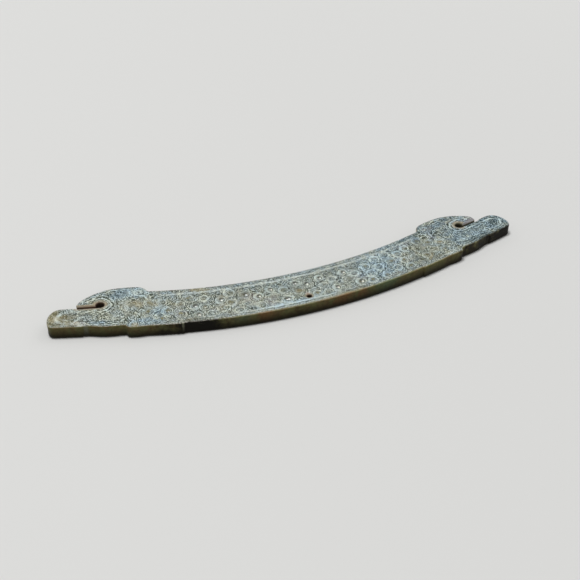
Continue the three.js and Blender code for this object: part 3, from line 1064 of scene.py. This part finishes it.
# What is the same all over the stone
STONE_SETTINGS = {
    "Coat Roughness": 0.16,
    "Coat IOR": 1.9,
    "IOR": 1.61,
    "Specular IOR Level": 0.05,
    "Subsurface Weight": 0.1,
    "Subsurface Radius": (1.0, 0.9, 0.6),
    "Subsurface Scale": 0.5 * MM,
}

# Heights between which the openings' walls and the edge wall are painted darker downwards, as shade
BORE_SHADED = (4.8 * MM, 3.6 * MM)
WALL_PAINTED_SHADE = (5.0 * MM, 0.5 * MM)

# The studio's light: its colour, the world's strength as it lights the object and as it is seen, the overhead
# lamp's distance, and the floor's glow where that lamp hardly reaches
WHITE = (1, 1, 0.985, 1)
WORLD_LIGHT = 0.32
WORLD_SEEN = 0.68
LAMP_DISTANCE = 0.9
FLOOR_GLOW = 0.47


class Jade(Finish):
    """The stone's material, with the noises and the stained colours that its parts share."""

    def __init__(self, name):
        super().__init__(name)
        self.middling = self.clouds(2.8, detail=4, roughness=0.6, lean=0.4)
        self.small = self.clouds(1.1, detail=3, roughness=0.6, lean=0.6)
        self.fine = self.clouds(0.42, detail=2, roughness=0.65)
        self.blue = self.stain("blue", 0.05, 0.85)
        self.tan = self.stain("tan", 0.1, 0.9)
        self.dark = self.blend(self.blue, DARK_OLIVE, DARK_TEAL)
        chalk = self.blend(self.blue, CHALK, CHALK_BLUE)
        self.chalk = self.blend(self.times(self.tan, 0.5), chalk, EDGE_PALE)

    def stain(self, title, low, high):
        """The share of a stain, its outline broken up by the middling clouds."""
        return self.ragged(title, self.middling, 1.6, low, high)


def stained_ground(jade):
    """The bare ground: olive drifting to grey, greyer on the rims, with blue, mauve and tan stains."""
    broad = jade.clouds(11, detail=4, roughness=0.6)
    ground = jade.blend(jade.share(broad, 0.4, 0.6), OLIVE_GROUND, GREY_GROUND)
    ground = jade.blend(jade.times(jade.value("rim"), 0.75), ground, RIM_GREY)
    ground = jade.blend(jade.times(jade.blue, 0.9), ground, BLUE_GROUND)
    ground = jade.blend(jade.times(jade.stain("mauve", 0.1, 0.8), 0.8), ground, MAUVE_GROUND)
    return jade.blend(jade.times(jade.tan, 0.85), ground, TAN)


def waved(jade, face):
    """The fine waves on a colour, by the cosine of their turns: dark in the troughs and chalky on the crests.

    Clouds bend and crumble them. They are clearest on the heads, and faint on grains and in tan stains.
    """
    rim, grain = jade.value("rim"), jade.value("grain")
    drift = jade.around(jade.clouds(1.6, detail=2, roughness=0.5, lean=0.6), 3.0)
    bent = jade.times(drift, jade.number(jade.value("contour"), 1.0, 0.6))
    stroke = jade.worked("COSINE", jade.times(jade.plus(jade.value("wave"), bent), 2 * math.pi))
    head = jade.times(jade.share(grain, 2.2, 3.0), jade.number(rim, 1.0, 0.0))
    stroke = jade.times(stroke, jade.number(rim, jade.number(head, 1.1, 1.4), 0.5))
    stroke = jade.plus(stroke, jade.around(jade.fine, 9.0))
    stroke = jade.minus(stroke, jade.number(head, 0.1, 0.4))
    patchy = jade.share(jade.small, 0.36, 0.58, 0.72, 1.0)
    bare = jade.times(jade.share(grain, 1.2, 1.5, 0.75, 1.0), jade.number(jade.tan, 1.0, 0.6))
    for low, high, colour in ((-0.2, -0.9, jade.dark), (0.2, 1.0, jade.chalk)):
        marks = jade.times(jade.times(jade.share(stroke, low, high), patchy), bare)
        face = jade.blend(marks, face, colour)
    return face


def grained(jade, face):
    """The grains on a colour: a dark moat, a dark polish partly painted as a reflection, and a painted glint.
    Gives the polish's share too.
    """
    off_moat = jade.worked("ABSOLUTE", jade.minus(jade.value("grain"), MOAT_MIDDLE))
    moat = jade.times(jade.share(off_moat, 0.3, 0.1), jade.share(jade.small, 0.35, 0.65, 0.0, 0.8))
    face = jade.blend(moat, face, jade.dark)
    patch = jade.ragged("polish", jade.small, 1.2, 0.25, 0.75, 0.0, 0.92)
    # The polished grain tops: their own dark olive, partly a painted dark reflection
    polish_and_painted_reflection = jade.blend(jade.share(jade.value("polish"), 0.5, 0.95), GRAIN_OLIVE, GRAIN_DARK_AND_REFLECTION)
    face = jade.blend(patch, face, polish_and_painted_reflection)
    # The pale spot on each crown is a painted glint
    return jade.blend(jade.ragged("painted_glint", jade.fine, 0.6, 0.2, 0.6, 0.0, 0.9), face, PAINTED_GLINT_PALE), patch


def lined(jade, face):
    """The chalky earth of the incised lines on a colour, ragged at its sides. Gives the earth's share too."""
    line = jade.ragged("line", jade.fine, 0.5, 0.3, 0.12)
    line = jade.times(jade.times(line, jade.share(jade.small, 0.3, 0.55, 0.35, 1.0)), jade.value("chalk"))
    return jade.blend(line, face, jade.chalk), line


def weathered(jade, face):
    """The rims' pale ridges and dark seam, pale and dark patches, partly painted highlight and shade, and a
    bluish to yellowish tint.
    """
    broken = jade.share(jade.plus(jade.fine, jade.small), 0.8, 1.08, 0.4, 1.0)
    # The rims' ridges: partly chalk, partly a painted highlight
    face = jade.blend(jade.times(jade.value("ridge_chalk_and_highlight"), broken), face, RIDGE_PALE_AND_HIGHLIGHT)
    seam = jade.times(jade.value("seam"), jade.share(jade.small, 0.42, 0.58, 0.0, 0.8))
    face = jade.blend(seam, face, jade.dark)
    # Pale spots: chalk, and in places painted highlights
    pale = jade.times(jade.stain("pale", 0.2, 1.0), jade.share(jade.fine, 0.3, 0.6, 0.3, 0.75))
    face = jade.blend(pale, face, jade.chalk)
    # Shade spots: darker tone, and in places painted shade
    face = jade.blend(jade.times(jade.stain("shade", 0.0, 1.0), 0.5), face, jade.dark)
    drift = jade.share(jade.clouds(2.6, detail=2, roughness=0.5), 0.4, 0.6)
    return jade.tinted(face, jade.blend(drift, BLUED, YELLOWED))


def opened(jade, face):
    """What is round the openings: earth at the mouths, worn lips, and the string hole's reddish scoop."""
    soil = jade.times(jade.value("mouth"), jade.share(jade.small, 0.3, 0.6, 0.45, 0.85))
    face = jade.blend(soil, face, MOUTH_TAN)
    bevel = jade.ragged("bevel", jade.small, 0.3, 0.05, 0.35, 0.0, 0.85)
    face = jade.blend(bevel, face, jade.blend(jade.value("red"), BEVEL_GREY, BEVEL_BROWN))
    face = jade.blend(jade.times(jade.value("string"), 0.5), face, MOUTH_TAN)
    scoop = jade.value("scoop")
    scooped = jade.blend(jade.share(scoop, 0.5, 0.95), SCOOP_PINK, BORE_RED)
    return jade.blend(jade.share(scoop, 0.1, 0.6, 0.0, 0.85), face, scooped)


def edge_colour(jade):
    """The walls' colour: olive and brown with stains, red or olive in the openings, and painted shade
    downwards.
    """
    edge = jade.blend(jade.share(jade.middling, 0.4, 0.62), WALL_OLIVE, WALL_BROWN)
    for title, colour in (("wall_green", WALL_GREEN), ("wall_rust", WALL_RUST), ("wall_dark", WALL_DARK)):
        edge = jade.blend(jade.stain(title, 0.1, 0.9), edge, colour)
    edge = jade.blend(jade.times(jade.stain("wall_pale", 0.2, 0.9), 0.8), edge, WALL_PALE)
    edge = jade.blend(jade.share(jade.small, 0.35, 0.7, 0.0, 0.3), edge, WALL_DARK)
    height = jade.made("SeparateXYZ", {0: jade.place}, "Z")
    bore = jade.blend(jade.value("red"), BORE_OLIVE, BORE_RED)
    # Painted shade: the openings' walls darken with depth
    bore = jade.blend(jade.share(height, *BORE_SHADED, 0.2, 0.7), bore, WALL_DARK)
    edge = jade.blend(jade.value("bore"), edge, bore)
    # Painted shade: the walls darken towards the floor
    return jade.blend(jade.share(height, *WALL_PAINTED_SHADE, 0.0, 0.93), edge, WALL_DARK)


def weathered_jade():
    """The plaque's finish: dark polished grains, partly a painted reflection, a greyer ground, chalky lines,
    stains, and an olive edge.
    """
    jade = Jade("weathered_jade")
    face, patch = grained(jade, waved(jade, stained_ground(jade)))
    face, line = lined(jade, face)
    face = opened(jade, weathered(jade, face))
    wall = jade.value("wall")
    whole = jade.blend(wall, face, edge_colour(jade))
    # The pale edge line: partly worn, partly a painted highlight on the rounded edge
    worn_and_highlit = jade.times(jade.value("arris"), jade.share(jade.fine, 0.38, 0.62, 0.05, 0.8))
    worn_and_highlit = jade.times(worn_and_highlit, jade.number(jade.value("mouth"), 1.0, 0.2))
    inputs = jade.shader.inputs
    jade.put(inputs["Base Color"], jade.blend(worn_and_highlit, whole, EDGE_PALE))
    dusty = jade.number(line, jade.number(patch, 0.6, 0.3), 0.85)
    jade.put(inputs["Roughness"], jade.number(wall, dusty, 0.45))
    jade.put(inputs["Coat Weight"], patch)
    for title, setting in STONE_SETTINGS.items():
        inputs[title].default_value = setting
    rough = jade.plus(jade.fine, jade.times(jade.clouds(0.22, detail=2, roughness=0.6), 0.5))
    pits = {"Strength": 0.9, "Distance": 0.05 * MM, "Height": jade.number(patch, rough, 0.6)}
    jade.put(inputs["Normal"], jade.made("Bump", pits, "Normal"))
    return jade.material


def seen_share(nodes, links):
    """1 for a ray from the camera, also by a reflection or through glass, and otherwise 0."""
    path = nodes.new("ShaderNodeLightPath")
    seen = path.outputs["Is Camera Ray"]
    for title in ("Is Glossy Ray", "Is Transmission Ray"):
        either = nodes.new("ShaderNodeMath")
        either.operation = "MAXIMUM"
        links.new(seen, either.inputs[0])
        links.new(path.outputs[title], either.inputs[1])
        seen = either.outputs[0]
    return seen


def studio_floor():
    """The pale floor's finish, matt. It is pale to the camera and in reflections, and throws back less light.

    What the overhead lamp gives it falls as 1 / (1 + (r / h)²)², with r the distance from the middle and h
    the lamp's, and its own glow makes up for that.
    """
    finish = Finish("studio_floor")
    seen = seen_share(finish.nodes, finish.links)
    finish.put(finish.shader.inputs["Base Color"], finish.blend(seen, FLOOR_BOUNCE, FLOOR_PALE))
    away = finish.made("VectorMath", {0: finish.place, 1: finish.place}, "Value", operation="DOT_PRODUCT")
    spread = finish.plus(finish.times(away, 1 / LAMP_DISTANCE**2), 1.0)
    lost = finish.minus(1.0, finish.worked("POWER", spread, -2.0))
    finish.shader.inputs["Emission Color"].default_value = WHITE
    finish.put(finish.shader.inputs["Emission Strength"], finish.times(finish.times(lost, seen), FLOOR_GLOW))
    finish.shader.inputs["Roughness"].default_value = 0.9
    finish.shader.inputs["Specular IOR Level"].default_value = 0.2
    return finish.material


# The plaque
plaque = mesh_object("carved_plaque", *stone())
plaque.data.materials.append(weathered_jade())
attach(plaque, "root" if "root" in frame["bodies"] else sorted(frame["bodies"])[0])
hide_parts("huang_plaque")

# The studio
FLOOR_REACH = 3.0
corners = np.array([(-1, -1), (1, -1), (1, 1), (-1, 1)]) * FLOOR_REACH
floor_mesh = bpy.data.meshes.new("floor")
floor_mesh.from_pydata([(x, y, 0.0) for x, y in corners.tolist()], [], [(0, 1, 2, 3)])
floor_mesh.materials.append(studio_floor())
floor = bpy.data.objects.new("floor", floor_mesh)
bpy.context.scene.collection.objects.link(floor)

world = bpy.data.worlds.new("studio")
bpy.context.scene.world = world
world.use_nodes = True
world_nodes, world_links = world.node_tree.nodes, world.node_tree.links
background = world_nodes["Background"]
background.inputs["Color"].default_value = WHITE
shown = world_nodes.new("ShaderNodeMath")
shown.operation = "MULTIPLY_ADD"
world_links.new(seen_share(world_nodes, world_links), shown.inputs[0])
shown.inputs[1].default_value = WORLD_SEEN - WORLD_LIGHT
shown.inputs[2].default_value = WORLD_LIGHT
world_links.new(shown.outputs[0], background.inputs["Strength"])

# The place that the lamps and the camera are turned to
TARGET = Vector((-5.45, -6.75, 5.0)) * MM


def soft_box(name, azimuth, elevation, distance, width, strength):
    """A square lamp round the object, turned to it, with the angles of its place in degrees."""
    a, e = math.radians(azimuth), math.radians(elevation)
    away = Vector((math.sin(a) * math.cos(e), -math.cos(a) * math.cos(e), math.sin(e)))
    lamp = bpy.data.lights.new(name, "AREA")
    lamp.shape = "SQUARE"
    lamp.size = width
    lamp.energy = strength
    made = bpy.data.objects.new(name, lamp)
    made.location = TARGET + away * distance
    made.rotation_mode = "QUATERNION"
    made.rotation_quaternion = (-away).to_track_quat("-Z", "Y")
    bpy.context.scene.collection.objects.link(made)


soft_box("overhead", azimuth=-110, elevation=82, distance=LAMP_DISTANCE, width=0.24, strength=5.6)
soft_box("fill_right", azimuth=100, elevation=45, distance=1.0, width=0.6, strength=1.1)

# The camera, where the photograph was taken from, with its angles in radians
FOCAL_PIXELS = 1012.8
IMAGE_WIDTH = 580
CAMERA_AZIMUTH = -0.36287
CAMERA_ELEVATION = 0.66543
CAMERA_ROLL = 0.00382
CAMERA_DISTANCE = 362.18 * MM

camera_data = bpy.data.cameras.new("camera")
camera_data.sensor_width = 36
camera_data.lens = camera_data.sensor_width * FOCAL_PIXELS / IMAGE_WIDTH
camera_data.clip_start = 0.01
camera_data.clip_end = 10
camera = bpy.data.objects.new("camera", camera_data)
bpy.context.scene.collection.objects.link(camera)
cos_a, sin_a = math.cos(CAMERA_AZIMUTH), math.sin(CAMERA_AZIMUTH)
cos_e, sin_e = math.cos(CAMERA_ELEVATION), math.sin(CAMERA_ELEVATION)
level = Vector((cos_a, sin_a, 0))
back = Vector((sin_a * cos_e, -cos_a * cos_e, sin_e))
lifted = back.cross(level)
rightwards = math.cos(CAMERA_ROLL) * level + math.sin(CAMERA_ROLL) * lifted
upwards = math.cos(CAMERA_ROLL) * lifted - math.sin(CAMERA_ROLL) * level
camera.matrix_world = Matrix.LocRotScale(
    TARGET + back * CAMERA_DISTANCE,
    Matrix((rightwards, upwards, back)).transposed().to_quaternion(),
    None,
)
bpy.context.scene.camera = camera

bpy.context.scene.view_settings.view_transform = "Standard"
